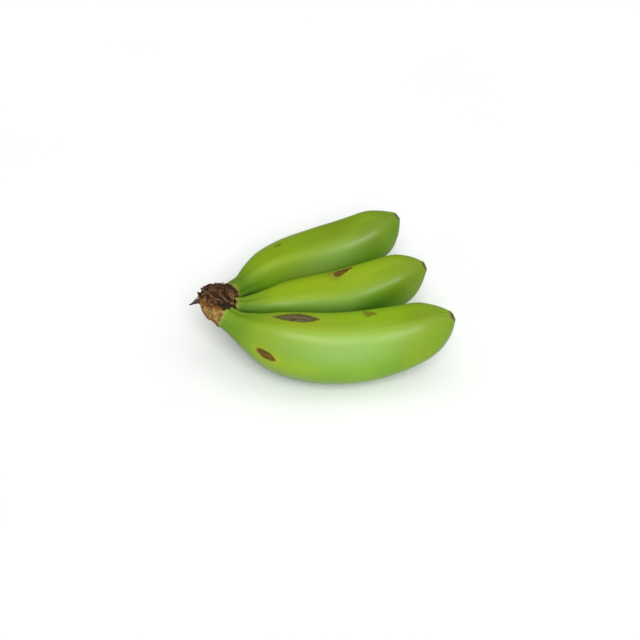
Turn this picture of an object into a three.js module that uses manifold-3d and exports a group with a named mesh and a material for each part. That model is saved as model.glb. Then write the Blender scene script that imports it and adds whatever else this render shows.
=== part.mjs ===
// A bunch of three green cooking bananas on the piece of crown they were cut with, lying on its
// bellies. Millimetres, +Z up. +X runs from the crown to the tips, and the row lies along Y.
import * as THREE from "three";
import { mergeVertices } from "three/addons/utils/BufferGeometryUtils.js";
import Module from "manifold-3d";

const wasm = await Module();
wasm.setup();

const { degToRad, lerp } = THREE.MathUtils;

// Girth of a banana: radii across the height of its section.
const ROOT_RADIUS = 4.2; // the root of the neck, inside the crown
const NECK_RADIUS = 7; // where the neck leaves the crown
const SHOULDER_RADIUS = 18.9; // where the neck has opened out into the body
const BELLY_RADIUS = 22; // the thickest stretch
const SNOUT_RADIUS = 7.1; // the blunt end, where the tip begins to close
const TIP_SCAR_RADIUS = 3; // the small flat scar that the flower left

// Width of the section as a share of its height.
const NECK_WIDTH = 0.87;
const SHOULDER_WIDTH = 0.82;
const BELLY_WIDTH = 0.9;
const SNOUT_WIDTH = 1.09;

// Each row of an outline is a share of the banana's length from the crown, and the value there.
const GIRTH_OUTLINE = [
  [0, NECK_RADIUS],
  [0.06, 1.15 * NECK_RADIUS],
  [0.14, lerp(NECK_RADIUS, SHOULDER_RADIUS, 0.53)],
  [0.24, SHOULDER_RADIUS],
  [0.38, lerp(SHOULDER_RADIUS, BELLY_RADIUS, 0.9)],
  [0.55, BELLY_RADIUS],
  [0.7, lerp(BELLY_RADIUS, SNOUT_RADIUS, 0.11)],
  [0.81, lerp(BELLY_RADIUS, SNOUT_RADIUS, 0.26)],
  [0.89, lerp(BELLY_RADIUS, SNOUT_RADIUS, 0.44)],
  [0.945, lerp(BELLY_RADIUS, SNOUT_RADIUS, 0.75)],
  [0.975, SNOUT_RADIUS],
  [1, TIP_SCAR_RADIUS],
];
const WIDTH_OUTLINE = [
  [0, NECK_WIDTH],
  [0.15, SHOULDER_WIDTH],
  [0.4, BELLY_WIDTH],
  [1, SNOUT_WIDTH],
];
const TIP_SCAR_BULGE = 0.8;

// Soft ridges run along each banana.
const RIDGES = 5;
const RIDGE_SHARPNESS = 5.5; // higher gives flatter sides between sharper ridges

// The bananas from the near side of the bunch to the far side. A neck leaves the crown at `at`
// and a tip ends at `at`. Headings are degrees from +X towards +Y, rises are degrees above the
// level, and reaches say how far the banana keeps to that line before it bends. The crown's edge
// lies crownEdge along the banana from `at`. The ridge angle is measured from the top of the
// section towards the near side, and it turns by ridgeTwist degrees from neck to tip.
const BANANAS = [
  {
    name: "banana_front",
    girth: 1.04,
    neck: { at: [-8.2, -12, 41.2], heading: -47, rise: -15.2, reach: 50.5 },
    tip: { at: [129.2, -46.1, 45.5], heading: -10.5, rise: 40, reach: 59.5 },
    crownEdge: 1.2,
    ridgeAngle: 22,
    ridgeTwist: 5,
  },
  {
    name: "banana_middle",
    girth: 0.93,
    neck: { at: [1.1, -1.7, 35.2], heading: 0.5, rise: -15.5, reach: 69 },
    tip: { at: [126.8, 3.2, 43.7], heading: -11.5, rise: 34, reach: 53 },
    crownEdge: -2.5,
    ridgeAngle: 33,
    ridgeTwist: 15,
  },
  {
    name: "banana_back",
    girth: 0.96,
    neck: { at: [3.2, 13, 36.5], heading: 45, rise: -18, reach: 50 },
    tip: { at: [121.6, 50.6, 47.2], heading: 1.5, rise: 43.5, reach: 54 },
    crownEdge: -4.5,
    ridgeAngle: 22,
    ridgeTwist: 25,
  },
];

// Each neck sits this deep in a socket of the crown, and touching pieces keep the clearance.
const NECK_SEAT = 6;
const SOCKET_WALL = 1.2;
const CLEARANCE = 0.3;

// The crown: a shrivelled pad, longest across the row of necks, sliced off on a slant.
const CROWN_CENTRE = [-10.2, 0.2, 41.5];
const CROWN_SIZE = [21, 27, 17];
const CROWN_SQUARENESS = 2.4; // 2 is an egg, higher is nearer a block
const CROWN_FOLDS = 9; // wrinkles round the pad
const CROWN_FOLD_DEPTH = 0.05; // share of its radius
const CROWN_SLICE = { normal: [-0.75, -0.6, -0.3], distance: 11 };

// Two dried strands of the stalk stand out of the crown.
const STRAND_SEAT = 5; // length of each strand inside the crown
const STRAND_TIP_RADIUS = 0.3;
const STRANDS = [
  {
    name: "dried_strand_long",
    at: [-18.5, 2.2, 43.2],
    way: [-1, -0.15, -0.05],
    length: 9,
    radius: 1.6,
    droop: 1.2,
  },
  {
    name: "dried_strand_short",
    at: [-15, 7.5, 45],
    way: [-0.8, 0.3, 0.45],
    length: 4,
    radius: 1.1,
    droop: 0.3,
  },
];

// Mesh fineness.
const SIDES = 36;
const BODY_RINGS = 34;
const CROWN_SEGMENTS = 36;
const STRAND_SIDES = 10;
const STRAND_RINGS = 6;

const PEEL = { color: 0x8fb52a, roughness: 0.45, metalness: 0 };
const DRIED_CROWN = { color: 0x4e3a22, roughness: 0.9, metalness: 0 };
const DRIED_STRAND = { color: 0x3a332a, roughness: 0.95, metalness: 0 };

// The value of an outline at a share of the length, on straight lines between its rows.
function valueAt(outline, share) {
  const next = Math.max(1, outline.findIndex(([place]) => place >= share));
  const [[placeA, valueA], [placeB, valueB]] = [outline[next - 1], outline[next]];
  return lerp(valueA, valueB, (share - placeA) / (placeB - placeA));
}

// A direction from a heading and a rise, in degrees.
function direction({ heading, rise }) {
  const level = Math.cos(degToRad(rise));
  return new THREE.Vector3(
    level * Math.cos(degToRad(heading)),
    level * Math.sin(degToRad(heading)),
    Math.sin(degToRad(rise)),
  );
}

// The line through the middle of a banana.
function bananaSpine({ neck, tip }) {
  const start = new THREE.Vector3(...neck.at);
  const end = new THREE.Vector3(...tip.at);
  return new THREE.CubicBezierCurve3(
    start,
    start.clone().addScaledVector(direction(neck), neck.reach),
    end.clone().addScaledVector(direction(tip), -tip.reach),
    end,
  );
}

// The point at a distance along a spine, which runs on straight past both ends, with the
// directions across it and up from it.
function frameAt(spine, distance) {
  const length = spine.getLength();
  const share = THREE.MathUtils.clamp(distance / length, 0, 1);
  const ahead = spine.getTangentAt(share);
  const point = spine.getPointAt(share).addScaledVector(ahead, distance - share * length);
  const up = new THREE.Vector3(0, 0, 1).projectOnPlane(ahead).normalize();
  const across = new THREE.Vector3().crossVectors(ahead, up);
  return { point, across, up };
}

// Bends a turned blank, whose axis is +Y, along a spine. `section` gives the half width and half
// height that a point of the blank has at its angle, from its radius and distance.
function bend(blank, spine, section) {
  const position = blank.getAttribute("position");
  for (let i = 0; i < position.count; i += 1) {
    const radius = Math.hypot(position.getX(i), position.getZ(i));
    const angle = Math.atan2(position.getX(i), position.getZ(i));
    const distance = position.getY(i);
    const { point, across, up } = frameAt(spine, distance);
    if (radius > 0) {
      const { width, height } = section(radius, angle, distance);
      point.addScaledVector(across, width * Math.sin(angle));
      point.addScaledVector(up, height * Math.cos(angle));
    }
    position.setXYZ(i, point.x, point.y, point.z);
  }
  return blank;
}

// Distance from the middle to the skin of a ridged section, 1 on average.
function ridged(angle) {
  let sum = 0;
  for (let side = 0; side < RIDGES; side += 1) {
    const toSide = Math.cos(angle - ((side + 0.5) * 2 * Math.PI) / RIDGES);
    sum += Math.max(toSide, 0) ** RIDGE_SHARPNESS;
  }
  return sum ** (-1 / RIDGE_SHARPNESS);
}
const RIDGED_MEAN = Array.from({ length: SIDES }, (_, i) =>
  ridged((i * 2 * Math.PI) / SIDES),
).reduce((sum, value) => sum + value / SIDES, 0);

// A turned blank with this outline, bent along a banana's spine and pressed to its ridged section.
function bananaBlank(banana, profile, growth) {
  const spine = bananaSpine(banana);
  const length = spine.getLength();
  const section = (radius, angle, distance) => {
    const share = THREE.MathUtils.clamp(distance / length, 0, 1);
    const turned = angle - degToRad(banana.ridgeAngle + banana.ridgeTwist * share);
    const skin = (radius * ridged(turned)) / RIDGED_MEAN;
    return { width: skin * valueAt(WIDTH_OUTLINE, share) + growth, height: skin + growth };
  };
  return bend(new THREE.LatheGeometry(profile, SIDES), spine, section);
}

// A banana, or the same banana grown outwards for the space it needs.
function bananaGeometry(banana, growth = 0) {
  const length = bananaSpine(banana).getLength();
  const rootEnd = banana.crownEdge - NECK_SEAT - growth;
  const outline = new THREE.SplineCurve(
    GIRTH_OUTLINE.map(
      ([share, radius]) => new THREE.Vector2(radius * banana.girth, share * length),
    ),
  );
  const profile = [
    new THREE.Vector2(0, rootEnd),
    new THREE.Vector2(ROOT_RADIUS * banana.girth, rootEnd),
    ...outline.getPoints(BODY_RINGS),
    new THREE.Vector2(0, length + TIP_SCAR_BULGE),
  ];
  return bananaBlank(banana, profile, growth);
}

// The plug of crown round the root of a neck, which becomes the socket's wall.
function collarGeometry(banana) {
  const growth = CLEARANCE + SOCKET_WALL;
  const rootEnd = banana.crownEdge - NECK_SEAT - growth;
  const profile = [
    new THREE.Vector2(0, rootEnd),
    new THREE.Vector2(ROOT_RADIUS * banana.girth, rootEnd),
    new THREE.Vector2(NECK_RADIUS * banana.girth, banana.crownEdge),
    new THREE.Vector2(0, banana.crownEdge),
  ];
  return bananaBlank(banana, profile, growth);
}

// The crown before its sockets are cut: a rounded block with wrinkles.
function crownGeometry() {
  const lump = new THREE.SphereGeometry(1, CROWN_SEGMENTS, CROWN_SEGMENTS / 2);
  const position = lump.getAttribute("position");
  const toSkin = new THREE.Vector3();
  for (let i = 0; i < position.count; i += 1) {
    toSkin.fromBufferAttribute(position, i);
    const squared = toSkin.toArray().reduce((sum, c) => sum + Math.abs(c) ** CROWN_SQUARENESS, 0);
    const slant = Math.atan2(toSkin.z, toSkin.y) + toSkin.x;
    const level = 1 - toSkin.x ** 2; // wrinkles fade towards both ends
    const fold = 1 + CROWN_FOLD_DEPTH * level * Math.cos(CROWN_FOLDS * slant);
    toSkin.multiplyScalar(fold * squared ** (-1 / CROWN_SQUARENESS));
    position.setXYZ(i, ...toSkin.toArray());
  }
  lump.scale(...CROWN_SIZE.map((size) => size / 2));
  lump.translate(...CROWN_CENTRE);
  return lump;
}

// A block whose near face is the slanted slice across the crown.
function sliceGeometry() {
  const size = 4 * Math.max(...CROWN_SIZE);
  const normal = new THREE.Vector3(...CROWN_SLICE.normal).normalize();
  const block = new THREE.BoxGeometry(size, size, size);
  block.translate(0, 0, size / 2 + CROWN_SLICE.distance);
  const turn = new THREE.Quaternion().setFromUnitVectors(new THREE.Vector3(0, 0, 1), normal);
  block.applyQuaternion(turn);
  block.translate(...CROWN_CENTRE);
  return block;
}

// A tapering strand, or the same strand grown outwards for the space it needs.
function strandGeometry({ at, way, length, radius, droop }, growth = 0) {
  const root = new THREE.Vector3(...at);
  const ahead = new THREE.Vector3(...way).normalize();
  const spine = new THREE.QuadraticBezierCurve3(
    root,
    root.clone().addScaledVector(ahead, length / 2),
    root.clone().addScaledVector(ahead, length).add(new THREE.Vector3(0, 0, -droop)),
  );
  const reach = spine.getLength();
  const profile = [
    new THREE.Vector2(0, -STRAND_SEAT - growth),
    new THREE.Vector2(radius, -STRAND_SEAT - growth),
  ];
  for (let ring = 0; ring <= STRAND_RINGS; ring += 1) {
    const share = ring / STRAND_RINGS;
    profile.push(new THREE.Vector2(lerp(radius, STRAND_TIP_RADIUS, share), share * reach));
  }
  profile.push(new THREE.Vector2(0, reach));
  const section = (skin) => ({ width: skin + growth, height: skin + growth });
  return bend(new THREE.LatheGeometry(profile, STRAND_SIDES), spine, section);
}

// A closed geometry as a solid.
function solidOf(geometry) {
  const bare = new THREE.BufferGeometry();
  bare.setAttribute("position", geometry.getAttribute("position"));
  bare.setIndex(geometry.getIndex());
  const merged = mergeVertices(bare, 1e-4);
  return new wasm.Manifold(
    new wasm.Mesh({
      numProp: 3,
      vertProperties: merged.getAttribute("position").array,
      triVerts: new Uint32Array(merged.getIndex().array),
    }),
  );
}

// A named mesh from a solid, with its own material.
function meshOf(name, solid, finish) {
  const { vertProperties, triVerts } = solid.getMesh();
  const geometry = new THREE.BufferGeometry();
  geometry.setAttribute("position", new THREE.BufferAttribute(vertProperties, 3));
  geometry.setIndex(new THREE.BufferAttribute(triVerts, 1));
  geometry.computeVertexNormals();
  const mesh = new THREE.Mesh(geometry, new THREE.MeshStandardMaterial(finish));
  mesh.name = name;
  return mesh;
}

const bunch = new THREE.Group();

// A banana that would press into the one before it gives way to it and keeps the gap.
let before = null;
for (const banana of BANANAS) {
  let solid = solidOf(bananaGeometry(banana));
  if (before) solid = solid.subtract(solidOf(bananaGeometry(before, CLEARANCE)));
  bunch.add(meshOf(banana.name, solid, PEEL));
  before = banana;
}

for (const strand of STRANDS) {
  bunch.add(meshOf(strand.name, solidOf(strandGeometry(strand)), DRIED_STRAND));
}

let crown = solidOf(crownGeometry()).subtract(solidOf(sliceGeometry()));
for (const banana of BANANAS) {
  crown = crown.add(solidOf(collarGeometry(banana)));
}
for (const banana of BANANAS) {
  crown = crown.subtract(solidOf(bananaGeometry(banana, CLEARANCE)));
}
for (const strand of STRANDS) {
  crown = crown.subtract(solidOf(strandGeometry(strand, CLEARANCE)));
}
// Crumbs that the sockets cut loose are no part of the crown.
const [largest] = crown.decompose().sort((a, b) => b.volume() - a.volume());
bunch.add(meshOf("crown", largest, DRIED_CROWN));

// The bunch lies on the level z = 0 with the middle of its outline over the origin.
const outer = new THREE.Box3().setFromObject(bunch, true);
const middle = outer.getCenter(new THREE.Vector3());
bunch.position.set(-middle.x, -middle.y, -outer.min.z);

export default bunch;
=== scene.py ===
import math
from collections import namedtuple
from random import Random

import bmesh
import bpy
from mathutils import Matrix, Vector, noise
from mathutils.bvhtree import BVHTree


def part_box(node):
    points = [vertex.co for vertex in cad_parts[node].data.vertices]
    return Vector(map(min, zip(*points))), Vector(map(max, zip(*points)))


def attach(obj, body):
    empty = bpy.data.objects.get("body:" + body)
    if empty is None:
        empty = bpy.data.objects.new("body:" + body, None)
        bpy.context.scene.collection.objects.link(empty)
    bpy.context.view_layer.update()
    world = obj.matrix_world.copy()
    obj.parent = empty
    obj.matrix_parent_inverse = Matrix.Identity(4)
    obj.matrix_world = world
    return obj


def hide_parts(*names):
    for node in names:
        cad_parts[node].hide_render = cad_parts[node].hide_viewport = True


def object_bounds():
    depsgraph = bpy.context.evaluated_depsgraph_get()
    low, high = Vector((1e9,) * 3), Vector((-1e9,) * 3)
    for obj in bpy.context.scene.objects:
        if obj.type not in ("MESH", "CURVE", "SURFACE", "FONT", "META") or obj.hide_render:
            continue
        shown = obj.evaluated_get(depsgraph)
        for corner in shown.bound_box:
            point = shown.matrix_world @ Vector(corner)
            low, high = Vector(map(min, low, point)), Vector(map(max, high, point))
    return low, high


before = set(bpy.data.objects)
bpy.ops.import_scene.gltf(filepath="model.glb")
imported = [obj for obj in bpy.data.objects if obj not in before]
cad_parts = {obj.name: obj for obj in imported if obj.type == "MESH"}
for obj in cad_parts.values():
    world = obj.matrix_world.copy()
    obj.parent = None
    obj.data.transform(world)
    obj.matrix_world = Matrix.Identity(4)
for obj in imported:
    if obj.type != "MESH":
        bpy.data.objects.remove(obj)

cad_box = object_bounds()
scene = bpy.context.scene

MM = 0.001
WELD = 0.001 * MM          # doubled vertices of a CAD mesh are nearer than this
NOISE_SEED = 2             # noise_vector takes its offsets from the clock unless it has a seed
noise.seed_set(NOISE_SEED)


# ---------------------------------------------------------------- sizes of the pieces

# Bananas. Distances along a banana run from the end of its root, which is inside the crown.
# Turns are degrees round it, from the top of its section towards the near side of the bunch.
LAY_RADIUS = 20 * MM       # round coordinates on the peel lie on a circle of this radius
ROOT_FULLNESS = 0.85       # radius of the root's end, as a share of the neck's
RIDGES = {                 # turn of the ridge on top at the neck, and how far it turns to the tip
    "banana_front": (22, 5),
    "banana_middle": (33, 15),
    "banana_back": (22, 25),
}
RIDGE_STEP = 72            # degrees from one ridge to the next
RIDGE_WIDTHS = (15, 26)    # degrees from a crest to its shoulders, uphill and downhill
RIDGE_CREST = 0.24 * MM
RIDGE_HOLLOW = 0.15 * MM   # how far the flat sides between the ridges sink
RIDGE_START = (0.08, 0.3)  # share of the length over which the ridges grow out of the neck
RIDGE_END = (0.86, 0.97)   # and over which they fade at the tip
SKIN = 0.25 * MM           # the peel is this much fuller than the rough shape under it
SWELL = 0.3 * MM           # slow hollows and swells of the body
SWELL_SIZE = 22 * MM
NECK_PLEATS = 9            # lengthwise pleats round the neck
NECK_PLEAT_DEPTH = 0.22 * MM
NECK_PLEAT_REACH = 34 * MM
NECK_PLEAT_FULL = 0.3      # share of that reach over which the pleats keep their depth
PLEAT_WANDER = 1.6         # radians that pleats and puckers wander round the banana
PLEAT_WANDER_SIZE = 9 * MM
TIP_PUCKERS = 11           # puckers round the flower scar at the tip
TIP_PUCKER_DEPTH = 0.16 * MM
TIP_PUCKER_REACH = 13 * MM
NECK_JOIN_SWELL = {"banana_middle": -95, "banana_back": 105}   # turn at which necks swell together
NECK_JOIN_DEPTH = 1.6 * MM
NECK_JOIN_PLACE = 17 * MM
NECK_JOIN_REACH = 8 * MM
FLOWER_SCAR_RADIUS = 2.9 * MM
FLOWER_SCAR_SINK = 0.7 * MM
FLOWER_SCAR_WALL = (0.72, 0.95)   # from its floor to its rim, in shares of its radius
FLOWER_SCAR_WOBBLE = 0.12         # how far out of round it is, as a share of its radius
FLOWER_LIP_HEIGHT = 0.25 * MM     # a raised lip runs round it
FLOWER_LIP_PLACE = 1.12
FLOWER_LIP_WIDTH = 0.14
SCAB_SINK = 0.25 * MM      # a scab lies deeper than the peel, with a crumbled floor
SCAB_EDGE = (-0.1, 0.35)
SCAB_CRUMB = 2.2 * MM

# A scar on the peel: a ragged lens, `along` a banana and at a `turn`. Its ends are pointed at
# roundness 1 and round at 2, and its tip end is slimmer than its crown end by the taper.
Scar = namedtuple("Scar", "kind along turn length width slant roundness taper ragged")
SCARS = {
    "banana_front": [
        Scar("grey", 50 * MM, -15, 32 * MM, 9.5 * MM, 1, 1.1, 0.05, 0.12),
        Scar("brown", 37.5 * MM, 79, 12 * MM, 6.5 * MM, 14, 2.0, 0.1, 0.16),
        Scar("scuff", 104.5 * MM, -25, 11 * MM, 6 * MM, 10, 1.6, 0.4, 0.5),
        Scar("grey", 88 * MM, 172, 17 * MM, 5 * MM, -3, 1.4, 0.2, 0.4),
    ],
    "banana_middle": [
        Scar("brown", 85.5 * MM, -19, 20 * MM, 5.5 * MM, -12, 1.5, 0.3, 0.3),
        Scar("scuff", 81 * MM, -17, 19 * MM, 9.0 * MM, -8, 1.8, 0.4, 0.35),
        Scar("brown", 60 * MM, 150, 9 * MM, 3.5 * MM, 6, 1.6, 0.2, 0.5),
    ],
    "banana_back": [
        Scar("scuff", 53.5 * MM, -17, 7 * MM, 2.4 * MM, 0, 1.5, 0.1, 0.3),
        Scar("grey", 78 * MM, -82, 20 * MM, 6 * MM, 4, 1.2, 0.15, 0.3),
        Scar("brown", 104 * MM, -128, 8 * MM, 3 * MM, -9, 1.6, 0.3, 0.5),
    ],
}
NO_SCAR = -9.0             # depth of a place that is far from every scar
SCAR_NEAR = 3              # a scar marks nothing farther off than this many half lengths
SCAR_SLIMMEST = 0.15       # least share of its width that the taper leaves
SCAR_TORN_DEPTH = -2       # its edge is torn from this depth inwards
SCAR_TEAR = 1.6            # how strongly, for a ragged scar
SCAR_TEAR_SIZES = (2.6 * MM, 1.1 * MM)

# Soft patches, with a middle `along` a banana and at a `turn`. The peel ripens yellow, stays olive,
# has a painted pale sheen or lies in painted shade there.
Patch = namedtuple("Patch", "kind along turn length width")
PATCHES = {
    "banana_front": [
        Patch("olive", 32 * MM, 54, 60 * MM, 46 * MM),
        Patch("ripening", 46 * MM, 84, 52 * MM, 16 * MM),
        Patch("ripening", 66 * MM, 8, 46 * MM, 18 * MM),
        Patch("olive", 140 * MM, 40, 46 * MM, 44 * MM),
        Patch("olive", 132 * MM, 74, 50 * MM, 40 * MM),
        # painted sheen below the ridge on top
        Patch("painted_sheen", 84 * MM, 46, 100 * MM, 24 * MM),
    ],
    "banana_middle": [
        Patch("ripening", 60 * MM, 0, 52 * MM, 24 * MM),
        Patch("ripening", 96 * MM, 6, 60 * MM, 20 * MM),
        Patch("olive", 130 * MM, 70, 44 * MM, 34 * MM),
        # painted shade on the lower side, which the front banana shades
        Patch("painted_shade", 96 * MM, 82, 72 * MM, 27 * MM),
        # painted sheen below the ridge on top
        Patch("painted_sheen", 66 * MM, 56, 70 * MM, 16 * MM),
    ],
    "banana_back": [
        Patch("ripening", 44 * MM, 18, 44 * MM, 26 * MM),
        Patch("ripening", 62 * MM, 62, 56 * MM, 28 * MM),
        Patch("olive", 104 * MM, -6, 64 * MM, 26 * MM),
        Patch("olive", 128 * MM, 40, 40 * MM, 34 * MM),
        # painted sheen below the ridge on top
        Patch("painted_sheen", 88 * MM, 54, 90 * MM, 20 * MM),
    ],
}
PATCH_FADE = 1.4           # how steeply a patch fades to its edge

PAINTED_SHADE_REACH = 20 * MM      # painted shade: peel this near to the next banana is painted deeper green
PAINTED_SHADE_FULL = 0.5 * MM      # and it is deepest this near
PAINTED_SHADE_STRENGTHS = {"banana_front": 0.45, "banana_middle": 0.9, "banana_back": 0.4}   # how much deeper

# Where a peel's colours change. Distances run from its root or, where it says so, from its tip.
NECK_FADE = (36 * MM, 12 * MM)       # the neck is darkest from the second distance down
DRIED_ROOT = {"banana_front": 7.6 * MM, "banana_middle": 10.2 * MM, "banana_back": 9.2 * MM}
DRIED_EDGE = (1.5 * MM, 0.9 * MM)    # the dried root fades out past, and from before, its end
TIP_FADE = (32 * MM, 6 * MM)         # from the tip
TIP_RING_FADE = (5.4 * MM, 3.4 * MM)
FLOWER_FADE = (3.5 * MM, 2.4 * MM)
TONES = {                  # how light each peel is
    "banana_front": (1.0, 1.0, 1.0),
    "banana_middle": (0.90, 0.87, 0.70),
    "banana_back": (0.78, 0.79, 0.60),
}

# Colours of the peel from its underside to its top, yellower on top and darker below as painted
# shade, then of its marks.
PEEL_COLORS = [
    (0.05, (0.105, 0.240, 0.004)),
    (0.55, (0.132, 0.318, 0.005)),
    (0.78, (0.185, 0.390, 0.010)),
    (0.92, (0.265, 0.445, 0.005)),
]
CLOUD_GREEN = (0.28, 0.44, 0.005)
STREAK_GREEN = (0.12, 0.28, 0.004)
NECK_GREEN = (0.095, 0.210, 0.003)
TIP_GREEN = (0.165, 0.255, 0.020)
FLECK_GREEN = (0.10, 0.17, 0.006)
DRIED_GREEN = (0.31, 0.31, 0.06)
TIP_RING = (0.16, 0.14, 0.045)
FLOWER_BROWN = (0.095, 0.075, 0.040)
RIPENING = (0.33, 0.44, 0.003)
OLIVE = (0.190, 0.270, 0.002)
# painted sheen, pale bluish green, below the ridges
PAINTED_SHEEN_COLOR = (0.280, 0.440, 0.150)
# painted shade where the peel faces the next banana
PAINTED_SHADE_GREEN = (0.030, 0.125, 0.001)
SCUFF = (0.140, 0.100, 0.004)
SCAR_HALO = (0.34, 0.40, 0.020)
BROWN_RIM = (0.170, 0.100, 0.003)
BROWN_HEART = (0.095, 0.052, 0.002)
GREY_RIM = (0.045, 0.036, 0.006)
GREY_HEART = (0.150, 0.122, 0.052)

# Crown: a squarish lump with a collar round each neck, sliced off on a slant and worn flatter on
# top, with folds, wrinkles and loose flakes.
CORE_SIZE = Vector((21, 27, 17)) * MM
CORE_SQUARENESS = 2.3
CORE_FROM_CORNER = Vector((10.5, -15.3, -8.9)) * MM   # from the crown's left, back, top corner
CUT_NORMAL = Vector((-0.8, -0.5, 0.3)).normalized()
CUT_DISTANCE = 9.6 * MM
CUT_EDGE = (2.2 * MM, 0.6 * MM)   # the husk gives way to the cut this far short of its plane
CAP_NORMAL = Vector((0.05, 0.70, 0.71)).normalized()    # the worn top
CAP_DISTANCE = 11.2 * MM
PITH_WAY = Vector((-0.55, -0.52, -0.63)).normalized()   # bare pith shows on this side of the cut
PITH_START = (-2.0 * MM, 9.0 * MM)   # it comes bare over this stretch, past a ragged edge
PITH_RAGGED = 2.5 * MM
PITH_DEPTH = 0.12 * MM     # its surface is pitted this deep
PITH_SIZE = 0.9 * MM
COLLAR_LENGTH = {"banana_front": 6.5 * MM, "banana_middle": 7.0 * MM, "banana_back": 4.0 * MM}
COLLAR_WALL = 0.9 * MM
COLLAR_SUNK = 1.5 * MM     # length of a collar's inner end, within the lump
LIP_REACH = 1.6 * MM       # husk this near to a peel is a dark lip
CROWN_VOXEL = 0.35 * MM
FOLD_WAY = Vector((0.70, -0.50, -0.40)).normalized()   # the folds run this way
FOLD_SIZE = 3.0 * MM
FOLD_WARP_SIZE = 7 * MM    # the folds bend over lengths like this
FOLD_PLACE = Vector((4.2, 0.7, 2.9))      # picks where the folds fall
FOLD_STRETCH = 0.28        # how much slower the folds change along their way
FOLD_DEPTH = 0.75 * MM
WRINKLE_DEPTH = 0.42 * MM
WRINKLE_FINENESS = 2.7     # wrinkles to a fold
WRINKLE_PLACE = Vector((1.2, 8.3, 0.4))
CRUMPLE_DEPTH = 0.9 * MM   # slow dents and bulges
CRUMPLE_SIZE = 6 * MM
CRUMPLE_PLACE = Vector((9.1, 2.2, 5.5))
FLAKES = 24                # loose scraps of dried skin
FLAKE_SEED = 11
FLAKE_MOST_CUT = 0.1       # no flake grows where the husk is cut more than this,
FLAKE_MOST_LIP = 0.2       # is a lip more than this,
FLAKE_LOWEST = -0.3        # or faces down more than this
FLAKE_SUNK = 0.35 * MM     # depth of a flake's root in the husk
FLAKE_LENGTHS = (1.8 * MM, 3.8 * MM)
FLAKE_WIDTHS = (1.8 * MM, 3.4 * MM)
FLAKE_LIFTS = (2, 18)      # degrees out of the husk
FLAKE_SWAY = 0.8           # radians to either side of across the folds
FLAKE_TAPER = 0.60         # share of its width that a flake loses to its end
FLAKE_CURL = 0.22          # share of its length by which its end curls up
FLAKE_THICKNESS = 0.30 * MM

STRAND_FLARE = 1.8 * MM    # how much a dried strand widens at its root
STRAND_FLARE_REACH = 7 * MM
STRAND_GROOVES = 4
STRAND_GROOVE_DEPTH = 0.22 * MM
STRAND_GROOVE_SIZE = 2 * MM
STRAND_TWIST = 420         # radians that the grooves turn in a metre
STRAND_KNOT_DEPTH = 0.25 * MM
STRAND_KNOT_SIZE = 1.4 * MM

# Colours of the dried husk from its hollows to its crests, red-brown with painted shade in the
# hollows and painted highlights on the crests, of the rust beside the cut, of the pith from its pits
# up, and of the dried strands.
HUSK_COLORS = [
    (0.20, (0.006, 0.003, 0.001)),
    (0.46, (0.042, 0.015, 0.004)),
    (0.70, (0.105, 0.035, 0.007)),
    (0.84, (0.190, 0.078, 0.024)),
    (0.97, (0.430, 0.250, 0.150)),
]
HUSK_TOP = (0.020, 0.012, 0.005)
HUSK_LIP = (0.014, 0.008, 0.003)
RUST_COLORS = [(0.30, (0.032, 0.011, 0.002)), (0.90, (0.200, 0.080, 0.014))]
PITH_COLORS = [
    (0.46, (0.070, 0.026, 0.004)),
    (0.64, (0.190, 0.095, 0.020)),
    (0.84, (0.400, 0.280, 0.080)),
]
FIBRE_COLORS = [
    (0.30, (0.012, 0.010, 0.008)),
    (0.55, (0.055, 0.042, 0.028)),
    (0.75, (0.15, 0.12, 0.085)),
]


# ---------------------------------------------------------------- camera, light and floor

CAMERA_AZIMUTH = -15.1     # degrees round from looking along +Y
CAMERA_ELEVATION = 45.6    # degrees above the floor
CAMERA_ROLL = 2.3
CAMERA_DISTANCE = 0.69
CAMERA_LENS = 60
AIM_FROM_MIDDLE = Vector((3.1, -10.8, -5.2)) * MM
SKY_LIGHT = 0.16           # strength of the white surroundings, which look fully white themselves
FLOOR_REACH = 3.0
FLOOR_TONES = [(0.3, (0.91, 0.91, 0.91)), (0.7, (0.93, 0.93, 0.93))]


def direction(azimuth, elevation):
    """Unit vector from the object towards a viewer or a light."""
    a, e = math.radians(azimuth), math.radians(elevation)
    return Vector((math.sin(a) * math.cos(e), -math.cos(a) * math.cos(e), math.sin(e)))


def facing(towards, roll=0.0):
    """Rotation whose local +Z points along `towards`, with local +Y up."""
    return towards.to_track_quat("Z", "Y").to_matrix() @ Matrix.Rotation(math.radians(roll), 3, "Z")


def make_camera():
    camera = bpy.data.objects.new("camera", bpy.data.cameras.new("camera"))
    scene.collection.objects.link(camera)
    back = direction(CAMERA_AZIMUTH, CAMERA_ELEVATION)
    aim = (cad_box[0] + cad_box[1]) / 2 + AIM_FROM_MIDDLE
    camera.matrix_world = (Matrix.Translation(aim + back * CAMERA_DISTANCE)
                           @ facing(back, CAMERA_ROLL).to_4x4())
    camera.data.lens = CAMERA_LENS
    camera.data.clip_start = 0.01
    scene.camera = camera


def make_softlight(name, azimuth, elevation, width, strength, color):
    """A round, distant light that is `width` degrees wide, so that it lights the floor evenly."""
    lamp = bpy.data.lights.new(name, "SUN")
    lamp.angle = math.radians(width)
    lamp.energy = strength
    lamp.color = color
    holder = bpy.data.objects.new(name, lamp)
    towards = direction(azimuth, elevation)
    holder.matrix_world = Matrix.Translation(towards) @ facing(towards).to_4x4()
    scene.collection.objects.link(holder)


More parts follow.
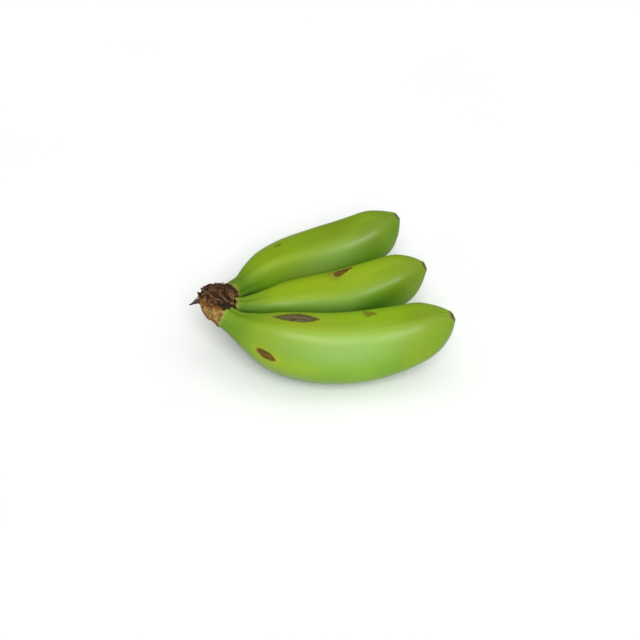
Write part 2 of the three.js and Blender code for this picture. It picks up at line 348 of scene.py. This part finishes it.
def make_studio():
    make_softlight("front_softlight", -8, 49, 36, 2.3, (0.96, 0.99, 1.0))
    make_softlight("top_softlight", 20, 80, 80, 1.3, (1.0, 0.99, 0.95))
    world = bpy.data.worlds.new("studio")
    world.use_nodes = True
    tree = world.node_tree
    seen = add(tree, "ShaderNodeLightPath").outputs["Is Camera Ray"]
    strength = math_node(tree, "MULTIPLY_ADD", seen, 1 - SKY_LIGHT, SKY_LIGHT)
    tree.links.new(strength, tree.nodes["Background"].inputs["Strength"])
    tree.nodes["Background"].inputs["Color"].default_value = (1.0, 1.0, 1.0, 1.0)
    scene.world = world
    scene.view_settings.view_transform = "Standard"


def make_floor():
    bm = bmesh.new()
    bmesh.ops.create_grid(bm, x_segments=1, y_segments=1, size=FLOOR_REACH)
    floor = object_from(bm, "floor")
    material, shader = new_material("pale_floor")
    tree = material.node_tree
    place = add(tree, "ShaderNodeTexCoord").outputs["Object"]
    grain = add(tree, "ShaderNodeTexNoise", {"Vector": place, "Scale": 6.0, "Detail": 3.0})
    tree.links.new(ramp(tree, grain.outputs["Fac"], FLOOR_TONES), shader.inputs["Base Color"])
    shader.inputs["Roughness"].default_value = 0.9
    floor.data.materials.append(material)


# ---------------------------------------------------------------- shader nodes

def new_material(name):
    """A node material and its Principled shader."""
    material = bpy.data.materials.new(name)
    material.use_nodes = True
    return material, material.node_tree.nodes["Principled BSDF"]


def give(tree, socket, value):
    """Links a socket to an input, or sets the input to a constant."""
    if isinstance(value, bpy.types.NodeSocket):
        tree.links.new(value, socket)
    elif socket.type == "RGBA" and len(value) == 3:
        socket.default_value = (*value, 1.0)
    else:
        socket.default_value = value


def add(tree, kind, inputs=None, **settings):
    """A new node with its settings and inputs."""
    node = tree.nodes.new(kind)
    for key, value in settings.items():
        setattr(node, key, value)
    for key, value in (inputs or {}).items():
        give(tree, node.inputs[key], value)
    return node


def math_node(tree, operation, *values):
    return add(tree, "ShaderNodeMath", dict(enumerate(values)), operation=operation).outputs[0]


def product(tree, *values):
    result = values[0]
    for value in values[1:]:
        result = math_node(tree, "MULTIPLY", result, value)
    return result


def step(tree, value, low, high):
    """0 at low, 1 at high, smooth between and level beyond. Low may be above high."""
    return add(tree, "ShaderNodeMapRange", {"Value": value, "From Min": low, "From Max": high},
               interpolation_type="SMOOTHSTEP").outputs["Result"]


def ramp(tree, value, stops):
    """A colour ramp through (place, colour) stops."""
    node = add(tree, "ShaderNodeValToRGB", {"Fac": value})
    elements = node.color_ramp.elements
    while len(elements) < len(stops):
        elements.new(0.5)
    for element, (place, color) in zip(elements, stops):
        element.position = place
        element.color = (*color, 1.0)
    return node.outputs["Color"]


def blend(tree, factor, a, b, kind="MIX"):
    """Colour a with colour b over it by a factor."""
    node = add(tree, "ShaderNodeMix", data_type="RGBA", blend_type=kind)
    give(tree, node.inputs[0], factor)
    give(tree, node.inputs[6], a)
    give(tree, node.inputs[7], b)
    return node.outputs[2]


def speckle(tree, place, stretch, detail=3.0, roughness=0.5):
    """Noise on stretched coordinates. The stretch is cells per metre each way."""
    mapped = add(tree, "ShaderNodeMapping", {"Vector": place, "Scale": stretch})
    return add(tree, "ShaderNodeTexNoise", {"Vector": mapped.outputs[0], "Scale": 1.0,
                                            "Detail": detail, "Roughness": roughness}).outputs["Fac"]


def attribute(tree, name, output="Fac"):
    return add(tree, "ShaderNodeAttribute", attribute_name=name).outputs[output]


def new_group(name, inputs, outputs):
    """An empty node group with the sockets of its input and output nodes."""
    tree = bpy.data.node_groups.new(name, "ShaderNodeTree")
    for in_out, sockets in (("INPUT", inputs), ("OUTPUT", outputs)):
        for label, kind in sockets.items():
            tree.interface.new_socket(label, in_out=in_out, socket_type="NodeSocket" + kind)
    return tree, tree.nodes.new("NodeGroupInput").outputs, tree.nodes.new("NodeGroupOutput").inputs


def use(tree, group, **inputs):
    """A shared node group placed in a material with its own values."""
    node = tree.nodes.new("ShaderNodeGroup")
    node.node_tree = group
    for key, value in inputs.items():
        give(tree, node.inputs[key], value)
    return node.outputs


# ---------------------------------------------------------------- meshes

def object_from(bm, name):
    """A smooth-shaded object at the origin from a bmesh, which is freed."""
    mesh = bpy.data.meshes.new(name)
    bm.to_mesh(mesh)
    bm.free()
    mesh.shade_smooth()
    piece = bpy.data.objects.new(name, mesh)
    scene.collection.objects.link(piece)
    return piece


def with_modifier(bm, kind, **settings):
    """The bmesh with one modifier worked in."""
    piece = object_from(bm, "rough")
    modifier = piece.modifiers.new("work", kind)
    for key, value in settings.items():
        setattr(modifier, key, value)
    depsgraph = bpy.context.evaluated_depsgraph_get()
    mesh = bpy.data.meshes.new_from_object(piece.evaluated_get(depsgraph))
    made = bmesh.new()
    made.from_mesh(mesh)
    bpy.data.meshes.remove(mesh)
    bpy.data.objects.remove(piece)
    return made


def merged_copy(node):
    """A bmesh copy of a CAD node with its doubled vertices merged."""
    bm = bmesh.new()
    bm.from_mesh(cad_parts[node].data)
    bmesh.ops.remove_doubles(bm, verts=bm.verts, dist=WELD)
    return bm


def push(bm, distance):
    """Moves each vertex along its normal by distance(vertex)."""
    bm.normal_update()
    moves = [v.normal * distance(v) for v in bm.verts]
    for v, move in zip(bm.verts, moves):
        v.co += move


def smooth(bm, times):
    for _ in range(times):
        bmesh.ops.smooth_vert(bm, verts=bm.verts, factor=0.5, use_axis_x=True, use_axis_y=True,
                              use_axis_z=True)


def rise(low, high, value):
    """0 at low, 1 at high, smooth between and level beyond."""
    t = min(max((value - low) / (high - low), 0.0), 1.0)
    return t * t * (3 - 2 * t)


def crest(place):
    """Noise folded into sharp crests, 1 on a crest."""
    return 1 - 2 * abs(noise.noise(place))


def finish_piece(piece, material, replaced):
    """Gives a piece its material and its place in the frame."""
    piece.data.materials.clear()
    piece.data.materials.append(material)
    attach(piece, "root")
    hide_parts(replaced)


# ---------------------------------------------------------------- long grown pieces

def rings_of(bm):
    """Rings of vertices from root to tip, which both close on one vertex. The tip is farther
    from the crown."""
    crown_low, crown_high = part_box("crown")
    crown_middle = (crown_low + crown_high) / 2
    ends = sorted(bm.verts, key=lambda v: len(v.link_edges))[-2:]
    root, tip = sorted(ends, key=lambda v: (v.co - crown_middle).length)
    rings, seen = [[root]], {root}
    while rings[-1][0] is not tip:
        ring = {e.other_vert(v) for v in rings[-1] for e in v.link_edges} - seen
        seen |= ring
        rings.append(sorted(ring, key=lambda v: v.index))
    return rings


def middle_of(ring):
    return sum((v.co for v in ring), Vector()) / len(ring)


def lay_out(bm):
    """Stores where each vertex lies: metres along and round the piece, and metres to its tip."""
    lay = bm.verts.layers.float_vector.new("lay")
    to_tip = bm.verts.layers.float.new("to_tip")
    bm.verts.index_update()
    rings = rings_of(bm)
    middles = [middle_of(ring) for ring in rings]
    distance = 0.0
    for i, ring in enumerate(rings):
        if i > 0:
            distance += (middles[i] - middles[i - 1]).length
        ahead = (middles[min(i + 1, len(rings) - 1)] - middles[max(i - 1, 0)]).normalized()
        up = (Vector((0, 0, 1)) - ahead * ahead.z).normalized()
        across = ahead.cross(up)
        for v in ring:
            arm = (v.co - middles[i]).normalized()
            v[lay] = (distance, arm.dot(across) * LAY_RADIUS, arm.dot(up) * LAY_RADIUS)
            v[to_tip] = (v.co - middles[-1]).length
    return rings


def rounded(bm):
    """The bmesh with its triangles joined in pairs and subdivided smooth."""
    bmesh.ops.join_triangles(bm, faces=bm.faces, angle_face_threshold=math.radians(60),
                             angle_shape_threshold=math.radians(179))
    return with_modifier(bm, "SUBSURF", levels=3, render_levels=3)


# ---------------------------------------------------------------- bananas

def fill_root(rings):
    """Widens the root's end, which the crown hides, so that the neck goes straight in."""
    middle = middle_of(rings[1])
    radius = sum((v.co - middle).length for v in rings[1]) / len(rings[1])
    neck_middle = middle_of(rings[2])
    neck_radius = sum((v.co - neck_middle).length for v in rings[2]) / len(rings[2])
    for v in rings[1]:
        v.co = middle + (v.co - middle) * ROOT_FULLNESS * neck_radius / radius
    return middle, (neck_middle - middle).normalized(), neck_radius


def lens_place(place, lens):
    """A place on the peel as a share of a lens's half length and half width, from its middle."""
    turn = math.radians(lens.turn)
    if place.y * math.sin(turn) + place.z * math.cos(turn) < 0:
        return None
    beside = place.y * math.cos(turn) - place.z * math.sin(turn)
    return 2 * (place.x - lens.along) / lens.length, 2 * beside / lens.width


def patch_strength(place, patch):
    """1 in the middle of a soft patch, fading to 0."""
    at = lens_place(place, patch)
    return math.exp(-PATCH_FADE * (at[0] ** 2 + at[1] ** 2)) if at else 0.0


def scar_depth(place, scar, spot):
    """How far inside a scar a place on the peel is: 1 in its middle, 0 at its edge."""
    at = lens_place(place, scar)
    if at is None or abs(at[0]) > SCAR_NEAR:
        return NO_SCAR
    slant = math.radians(scar.slant)
    shape = scar.width / scar.length
    x = at[0] * math.cos(slant) + at[1] * shape * math.sin(slant)
    y = at[1] * math.cos(slant) - at[0] / shape * math.sin(slant)
    y /= max(SCAR_SLIMMEST, 1 - scar.taper * x)
    depth = 1 - x * x - abs(y) ** scar.roundness
    if depth > SCAR_TORN_DEPTH:
        coarse, fine = (noise.noise(spot / size) for size in SCAR_TEAR_SIZES)
        depth += SCAR_TEAR * scar.ragged * (coarse + 0.5 * fine)
    return depth


def ridge_height(node, angle, share):
    """A crest along each ridge and a hollow between, fading towards both ends."""
    first, twist = RIDGES[node]
    turn = math.degrees(angle) - first - twist * share
    off_crest = (turn + RIDGE_STEP / 2) % RIDGE_STEP - RIDGE_STEP / 2
    width = RIDGE_WIDTHS[0] if off_crest < 0 else RIDGE_WIDTHS[1]
    crest_height = RIDGE_CREST * math.exp(-(off_crest / width) ** 2)
    hollow = RIDGE_HOLLOW * (1 - math.cos(math.radians(off_crest * 360 / RIDGE_STEP))) / 2
    return (crest_height - hollow) * rise(*RIDGE_START, share) * (1 - rise(*RIDGE_END, share))


def mark_peel(bm, node, seed):
    """Stores the peel's scars, its soft patches, and painted shade where it faces the next banana
    closely.
    """
    lay = bm.verts.layers.float_vector["lay"]
    names = ("scab", "grey", "scuff", "ripening", "olive", "painted_sheen", "painted_shade")
    layers = {name: bm.verts.layers.float.new(name) for name in names}
    others = []
    for other in RIDGES:
        if other != node:
            copy = merged_copy(other)
            others.append(BVHTree.FromBMesh(copy))
            copy.free()
    for v in bm.verts:
        spot = v.co + seed
        depths = dict.fromkeys(("grey", "brown", "scuff"), NO_SCAR)
        for scar in SCARS[node]:
            depths[scar.kind] = max(depths[scar.kind], scar_depth(v[lay], scar, spot))
        v[layers["scab"]] = max(depths["grey"], depths["brown"])
        v[layers["grey"]] = float(depths["grey"] > depths["brown"])
        v[layers["scuff"]] = depths["scuff"]
        for patch in PATCHES[node]:
            v[layers[patch.kind]] = max(v[layers[patch.kind]], patch_strength(v[lay], patch))
        # painted shade on peel that faces another banana closely
        for tree in others:
            hit, _, _, distance = tree.find_nearest(v.co, PAINTED_SHADE_REACH)
            if hit:
                facing_it = max(0.0, (hit - v.co).normalized().dot(v.normal))
                painted_shade = (1 - rise(PAINTED_SHADE_FULL, PAINTED_SHADE_REACH, distance)) * facing_it
                v[layers["painted_shade"]] = max(v[layers["painted_shade"]], painted_shade)


def shape_peel(bm, node, length, seed):
    """Ridges, swells, pleats, puckers, the flower scar and sunken scars."""
    join_turn = NECK_JOIN_SWELL.get(node)
    lay = bm.verts.layers.float_vector["lay"]
    to_tip = bm.verts.layers.float["to_tip"]
    scab = bm.verts.layers.float["scab"]

    def distance(v):
        angle = math.atan2(v[lay].y, v[lay].z)
        swell = SKIN + SWELL * noise.noise(v.co / SWELL_SIZE + seed)
        swell += ridge_height(node, angle, v[lay].x / length)
        if join_turn is not None:
            facing_it = max(0.0, math.cos(angle - math.radians(join_turn)))
            nearness = math.exp(-((v[lay].x - NECK_JOIN_PLACE) / NECK_JOIN_REACH) ** 2)
            swell += NECK_JOIN_DEPTH * facing_it * nearness
        wander = PLEAT_WANDER * noise.noise(v.co / PLEAT_WANDER_SIZE + seed)
        neck = 1 - rise(NECK_PLEAT_REACH * NECK_PLEAT_FULL, NECK_PLEAT_REACH, v[lay].x)
        pleat = NECK_PLEAT_DEPTH * neck * math.sin(NECK_PLEATS * angle + wander)
        snout = 1 - rise(FLOWER_SCAR_RADIUS, TIP_PUCKER_REACH, v[to_tip])
        pucker = TIP_PUCKER_DEPTH * snout * math.sin(TIP_PUCKERS * angle + 2 * wander)
        wobble = FLOWER_SCAR_WOBBLE * noise.noise(v.co / MM + seed)
        edge = v[to_tip] / FLOWER_SCAR_RADIUS + wobble
        flower = FLOWER_SCAR_SINK * (1 - rise(*FLOWER_SCAR_WALL, edge))
        lip = FLOWER_LIP_HEIGHT * math.exp(-((edge - FLOWER_LIP_PLACE) / FLOWER_LIP_WIDTH) ** 2)
        crust = 0.7 + 0.6 * crest(v.co / SCAB_CRUMB + seed)
        sunk = SCAB_SINK * rise(*SCAB_EDGE, v[scab]) * crust
        return swell + pleat + pucker - flower + lip - sunk

    push(bm, distance)


def make_banana(node, material):
    """A peel for a CAD banana. Gives back its neck's root, way and radius, and its surface."""
    bm = merged_copy(node)
    rings = lay_out(bm)
    length = rings[-1][0][bm.verts.layers.float_vector["lay"]].x
    neck = fill_root(rings)
    seed = neck[0] / SWELL_SIZE
    bm = rounded(bm)
    mark_peel(bm, node, seed)
    shape_peel(bm, node, length, seed)
    surface = BVHTree.FromBMesh(bm)
    piece = object_from(bm, node + "_peel")
    finish_piece(piece, material, node)
    return neck, surface


def streak_group():
    """Long soft streaks of a peel, its fibres, the clouds of its tone and its tiny flecks."""
    tree, given, result = new_group("peel_streaks", {"Lay": "Vector", "Place": "Vector"},
                                    {"Streak": "Float", "Fibre": "Float", "Cloud": "Float",
                                     "Fleck": "Float"})
    broad = speckle(tree, given["Lay"], (16.0, 190.0, 190.0), 4.0, 0.55)
    give(tree, result["Streak"], step(tree, broad, 0.34, 0.70))
    fine = speckle(tree, given["Lay"], (60.0, 1500.0, 1500.0), 2.0)
    give(tree, result["Fibre"], fine)
    cloud = speckle(tree, given["Place"], (42.0, 42.0, 42.0), 3.0, 0.6)
    give(tree, result["Cloud"], step(tree, cloud, 0.26, 0.76))
    cells = add(tree, "ShaderNodeTexVoronoi", {"Vector": given["Place"], "Scale": 340.0})
    size = speckle(tree, given["Place"], (90.0, 90.0, 90.0), 1.0)
    reach = math_node(tree, "MULTIPLY_ADD", size, 0.46, -0.13)
    inside = math_node(tree, "SUBTRACT", reach, cells.outputs["Distance"])
    give(tree, result["Fleck"], step(tree, inside, -0.02, 0.04))
    return tree


def make_peel(name, node, streaks, tone):
    """Green peel: yellower on top, with painted shade below and where the next banana is close, a
    painted sheen below its ridges, and its own scars.
    """
    material, shader = new_material(name)
    tree = material.node_tree
    lay = attribute(tree, "lay", "Vector")
    place = add(tree, "ShaderNodeTexCoord").outputs["Object"]
    split = add(tree, "ShaderNodeSeparateXYZ", {0: lay}).outputs
    along = split["X"]
    top = math_node(tree, "DIVIDE", split["Z"], LAY_RADIUS)
    pattern = use(tree, streaks, Lay=lay, Place=place)

    # darker towards the underside: painted shade
    height = math_node(tree, "MULTIPLY_ADD", pattern["Streak"], 0.12, top)
    color = ramp(tree, math_node(tree, "MULTIPLY_ADD", height, 0.45, 0.5), PEEL_COLORS)
    color = blend(tree, product(tree, attribute(tree, "ripening"), 0.65), color, RIPENING)
    color = blend(tree, product(tree, attribute(tree, "olive"), 0.80), color, OLIVE)
    color = blend(tree, product(tree, pattern["Cloud"], 0.36), color, CLOUD_GREEN)
    color = blend(tree, product(tree, pattern["Streak"], 0.16), color, STREAK_GREEN)
    # painted sheen below the ridges, where the front light glances off
    color = blend(tree, product(tree, attribute(tree, "painted_sheen"), 0.55), color, PAINTED_SHEEN_COLOR)
    neck = step(tree, along, *NECK_FADE)
    color = blend(tree, product(tree, neck, 0.70), color, NECK_GREEN)
    # painted shade: deeper green where the next banana is close
    color = blend(tree, product(tree, attribute(tree, "painted_shade"), PAINTED_SHADE_STRENGTHS[node]), color, PAINTED_SHADE_GREEN)
    end = attribute(tree, "to_tip")
    near_tip = step(tree, end, *TIP_FADE)
    color = blend(tree, product(tree, near_tip, 0.55), color, TIP_GREEN)
    edge = math_node(tree, "MULTIPLY_ADD", pattern["Cloud"], 2 * MM, along)
    dried = step(tree, edge, DRIED_ROOT[node] + DRIED_EDGE[0], DRIED_ROOT[node] - DRIED_EDGE[1])
    color = blend(tree, product(tree, dried, 0.80), color, DRIED_GREEN)
    color = blend(tree, product(tree, pattern["Fleck"], 0.30), color, FLECK_GREEN)
    color = blend(tree, 1.0, color, tone, "MULTIPLY")

    tear = speckle(tree, lay, (500.0, 900.0, 900.0), 4.0, 0.65)
    tear = math_node(tree, "MULTIPLY_ADD", tear, 0.5, -0.25)
    scuff = math_node(tree, "ADD", attribute(tree, "scuff"), tear)
    color = blend(tree, product(tree, step(tree, scuff, -0.6, 0.7), 0.70), color, SCUFF)
    scab = math_node(tree, "ADD", attribute(tree, "scab"), tear)
    color = blend(tree, product(tree, step(tree, scab, -2.0, 0.1), 0.45), color, SCAR_HALO)
    cork = step(tree, speckle(tree, lay, (180.0, 700.0, 700.0), 4.0, 0.6), 0.30, 0.55)
    heart = product(tree, step(tree, scab, 0.15, 0.45), cork)
    brown = blend(tree, heart, BROWN_RIM, BROWN_HEART)
    grey = blend(tree, heart, GREY_RIM, GREY_HEART)
    cover = step(tree, scab, -0.30, 0.35)
    color = blend(tree, cover, color, blend(tree, attribute(tree, "grey"), brown, grey))

    flake = speckle(tree, place, (700.0, 700.0, 700.0), 4.0, 0.7)
    ragged_end = math_node(tree, "MULTIPLY_ADD", flake, 1.2 * MM, end)
    ring = step(tree, ragged_end, *TIP_RING_FADE)
    color = blend(tree, product(tree, ring, 0.6), color, TIP_RING)
    flower = step(tree, ragged_end, *FLOWER_FADE)
    color = blend(tree, flower, color, FLOWER_BROWN)
    tree.links.new(color, shader.inputs["Base Color"])

    dry = math_node(tree, "MAXIMUM", cover, ring)
    satin = math_node(tree, "MULTIPLY_ADD", pattern["Cloud"], 0.06, 0.40)
    satin = math_node(tree, "MULTIPLY_ADD", neck, 0.25, satin)
    rough = add(tree, "ShaderNodeMix", {0: dry, 2: satin, 3: 0.85}).outputs[0]
    tree.links.new(rough, shader.inputs["Roughness"])
    fibre = add(tree, "ShaderNodeBump", {"Height": pattern["Fibre"], "Strength": 0.14,
                                         "Distance": 0.1 * MM})
    crusty = add(tree, "ShaderNodeBump", {"Height": product(tree, flake, dry), "Strength": 0.8,
                                          "Distance": 0.4 * MM, "Normal": fibre.outputs["Normal"]})
    tree.links.new(crusty.outputs["Normal"], shader.inputs["Normal"])
    shader.inputs["IOR"].default_value = 1.40
    return material


# ---------------------------------------------------------------- crown

def crown_core(bm, centre):
    """A squarish egg, sliced on a slant and worn flat on top."""
    made = bmesh.ops.create_icosphere(bm, subdivisions=6, radius=1.0)
    for v in made["verts"]:
        squared = sum(abs(c) ** CORE_SQUARENESS for c in v.co)
        spot = v.co * squared ** (-1 / CORE_SQUARENESS) * 0.5
        spot = Vector((spot.x * CORE_SIZE.x, spot.y * CORE_SIZE.y, spot.z * CORE_SIZE.z))
        for normal, reach in ((CUT_NORMAL, CUT_DISTANCE), (CAP_NORMAL, CAP_DISTANCE)):
            spot -= normal * max(0.0, spot.dot(normal) - reach)
        v.co = centre + spot


def crown_collar(bm, node, neck):
    """A short cone of dried stalk round a neck."""
    root, way, radius = neck
    length = COLLAR_LENGTH[node] + COLLAR_SUNK
    middle = root + way * (length / 2 - COLLAR_SUNK)
    bmesh.ops.create_cone(bm, cap_ends=True, segments=48, radius1=radius,
                          radius2=radius + COLLAR_WALL, depth=length,
                          matrix=Matrix.Translation(middle) @ facing(way).to_4x4())


def flake_roots(bm, cut, lip, centre, chance):
    """Places and ways out for the flakes, away from the cut, the necks and the underside."""
    bm.faces.ensure_lookup_table()
    husk = BVHTree.FromBMesh(bm)
    roots = []
    while len(roots) < FLAKES:
        way = Vector([chance.gauss(0, 1) for _ in range(3)]).normalized()
        spot, normal, index, _ = husk.ray_cast(centre + way * 2 * CORE_SIZE.length, -way)
        corner = bm.faces[index].verts[0]
        if corner[cut] < FLAKE_MOST_CUT and corner[lip] < FLAKE_MOST_LIP and way.z > FLAKE_LOWEST:
            roots.append((spot, (normal + way).normalized()))
    return roots


def add_flakes(bm, fold, cut, lip, centre):
    """Thin scraps of dried skin that curl out of the husk."""
    chance = Random(FLAKE_SEED)
    for spot, outward in flake_roots(bm, cut, lip, centre, chance):
        sway = Matrix.Rotation(chance.uniform(-FLAKE_SWAY, FLAKE_SWAY), 3, outward)
        sideways = (FOLD_WAY - outward * FOLD_WAY.dot(outward)).normalized()
        lift = math.radians(chance.uniform(*FLAKE_LIFTS))
        ahead = sway @ (sideways * chance.choice((-1, 1)))
        across = outward.cross(ahead)
        ahead = ahead * math.cos(lift) + outward * math.sin(lift)
        up = ahead.cross(across)
        length, width = chance.uniform(*FLAKE_LENGTHS), chance.uniform(*FLAKE_WIDTHS)
        root = spot - outward * FLAKE_SUNK
        made = bmesh.ops.create_grid(bm, x_segments=8, y_segments=5, size=0.5)["verts"]
        for corner in made:
            t = corner.co.x + 0.5
            ragged = Vector((2.5 * t, 3 * corner.co.y, chance.random() * 0.2))
            torn = noise.noise(ragged + root * 900)
            beside = corner.co.y * width * (1 - FLAKE_TAPER * t * t + 0.5 * torn)
            curl = length * (FLAKE_CURL * t * t + 0.12 * torn)
            corner[fold] = 0.25 + 0.35 * t + 0.4 * torn
            corner.co = root + ahead * (length * t * (1 + 0.4 * torn)) + across * beside + up * curl
        faces = list({face for corner in made for face in corner.link_faces})
        bmesh.ops.solidify(bm, geom=faces, thickness=FLAKE_THICKNESS)


def make_crown(necks, surfaces):
    """The dried pad of stalk: folded, crumpled and cut, with ragged lips round the necks."""
    low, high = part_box("crown")
    centre = Vector((low.x, high.y, high.z)) + CORE_FROM_CORNER
    bm = bmesh.new()
    crown_core(bm, centre)
    for node, neck in necks.items():
        crown_collar(bm, node, neck)
    bm = with_modifier(bm, "REMESH", mode="VOXEL", voxel_size=CROWN_VOXEL)
    smooth(bm, 6)
    fold = bm.verts.layers.float.new("fold")
    cut = bm.verts.layers.float.new("cut")
    lip = bm.verts.layers.float.new("lip")

    def distance(v):
        spot = v.co - centre
        way = spot.dot(FOLD_WAY)
        folded = (spot - FOLD_WAY * way * (1 - FOLD_STRETCH)) / FOLD_SIZE
        folded += 0.5 * noise.noise_vector(spot / FOLD_WARP_SIZE)
        broad = crest(folded + FOLD_PLACE)
        narrow = crest(folded * WRINKLE_FINENESS + WRINKLE_PLACE)
        crumple = noise.noise(spot / CRUMPLE_SIZE + CRUMPLE_PLACE)
        v[cut] = rise(CUT_DISTANCE - CUT_EDGE[0], CUT_DISTANCE - CUT_EDGE[1], spot.dot(CUT_NORMAL))
        v[cut] *= rise(*PITH_START, spot.dot(PITH_WAY) + PITH_RAGGED * crumple)
        near = min(surface.find_nearest(v.co)[3] for surface in surfaces)
        v[lip] = math.exp(-(near / LIP_REACH) ** 2)
        # fold level, which the husk colours paint darker in hollows and paler on crests
        v[fold] = 0.5 + 0.35 * broad + 0.2 * narrow
        husk = FOLD_DEPTH * (broad - 0.55) + WRINKLE_DEPTH * narrow + CRUMPLE_DEPTH * crumple
        pith = PITH_DEPTH * noise.noise(spot / PITH_SIZE)
        return husk * (1 - v[cut]) + pith * v[cut]

    push(bm, distance)
    smooth(bm, 1)
    add_flakes(bm, fold, cut, lip, centre)
    piece = object_from(bm, "crown_husk")
    finish_piece(piece, make_husk(), "crown")


def make_husk():
    """Dried stalk: dark above, red-brown with painted shade in the hollows and painted highlights on
    the crests, rusty round the tan cut.
    """
    material, shader = new_material("dried_husk")
    tree = material.node_tree
    place = add(tree, "ShaderNodeTexCoord").outputs["Object"]
    fold = attribute(tree, "fold")
    cut = attribute(tree, "cut")
    lip = attribute(tree, "lip")
    normal_up = add(tree, "ShaderNodeSeparateXYZ",
                    {0: add(tree, "ShaderNodeNewGeometry").outputs["Normal"]}).outputs["Z"]
    grain = speckle(tree, place, (900.0, 900.0, 900.0), 4.0, 0.65)
    level = math_node(tree, "ADD", fold, math_node(tree, "MULTIPLY_ADD", grain, 0.5, -0.25))
    # painted shade in the folds' hollows and painted highlights on their crests
    color = ramp(tree, level, HUSK_COLORS)
    dark = product(tree, step(tree, normal_up, 0.45, 0.95), 0.75)
    color = blend(tree, dark, color, HUSK_TOP)
    color = blend(tree, product(tree, lip, 0.85), color, HUSK_LIP)
    mottle = speckle(tree, place, (420.0, 420.0, 420.0), 4.0, 0.7)
    edge = math_node(tree, "ADD", cut, math_node(tree, "MULTIPLY_ADD", mottle, 0.9, -0.45))
    color = blend(tree, step(tree, edge, 0.05, 0.60), color, ramp(tree, level, RUST_COLORS))
    pores = add(tree, "ShaderNodeTexVoronoi", {"Vector": place, "Scale": 1500.0})
    pitted = math_node(tree, "MULTIPLY_ADD", pores.outputs["Distance"], 0.35, mottle)
    color = blend(tree, step(tree, edge, 0.55, 0.85), color, ramp(tree, pitted, PITH_COLORS))
    tree.links.new(color, shader.inputs["Base Color"])
    shader.inputs["Roughness"].default_value = 0.82
    shader.inputs["Specular IOR Level"].default_value = 0.15
    bump = add(tree, "ShaderNodeBump", {"Height": grain, "Strength": 0.5, "Distance": 0.35 * MM})
    tree.links.new(bump.outputs["Normal"], shader.inputs["Normal"])
    return material


# ---------------------------------------------------------------- dried strands

def make_strand(node, material):
    """A shrivelled spike with lengthwise grooves and knots, flared at its root."""
    bm = merged_copy(node)
    lay_out(bm)
    bm = rounded(bm)
    lay = bm.verts.layers.float_vector["lay"]

    def distance(v):
        angle = math.atan2(v[lay].y, v[lay].z)
        groove = STRAND_GROOVE_DEPTH * math.sin(STRAND_GROOVES * angle + STRAND_TWIST * v[lay].x)
        groove *= 0.6 + noise.noise(v.co / STRAND_GROOVE_SIZE)
        knots = STRAND_KNOT_DEPTH * noise.noise(v.co / STRAND_KNOT_SIZE)
        flare = STRAND_FLARE * math.exp(-(v[lay].x / STRAND_FLARE_REACH) ** 2)
        return groove + knots + flare

    push(bm, distance)
    piece = object_from(bm, node + "_fibre")
    finish_piece(piece, material, node)


def make_fibre():
    """Grey-brown dried fibre, streaked along its length."""
    material, shader = new_material("dried_fibre")
    tree = material.node_tree
    lay = attribute(tree, "lay", "Vector")
    lines = speckle(tree, lay, (160.0, 260.0, 260.0), 4.0, 0.6)
    color = ramp(tree, lines, FIBRE_COLORS)
    tree.links.new(color, shader.inputs["Base Color"])
    shader.inputs["Roughness"].default_value = 0.8
    bump = add(tree, "ShaderNodeBump", {"Height": lines, "Strength": 0.5, "Distance": 0.3 * MM})
    tree.links.new(bump.outputs["Normal"], shader.inputs["Normal"])
    return material


# ---------------------------------------------------------------- build

make_camera()
make_studio()
make_floor()

streaks = streak_group()
necks = {}
surfaces = []
for node, tone in TONES.items():
    peel = make_peel(node + "_skin", node, streaks, tone)
    necks[node], surface = make_banana(node, peel)
    surfaces.append(surface)
make_crown(necks, surfaces)
fibre = make_fibre()
for strand in ("dried_strand_long", "dried_strand_short"):
    make_strand(strand, fibre)
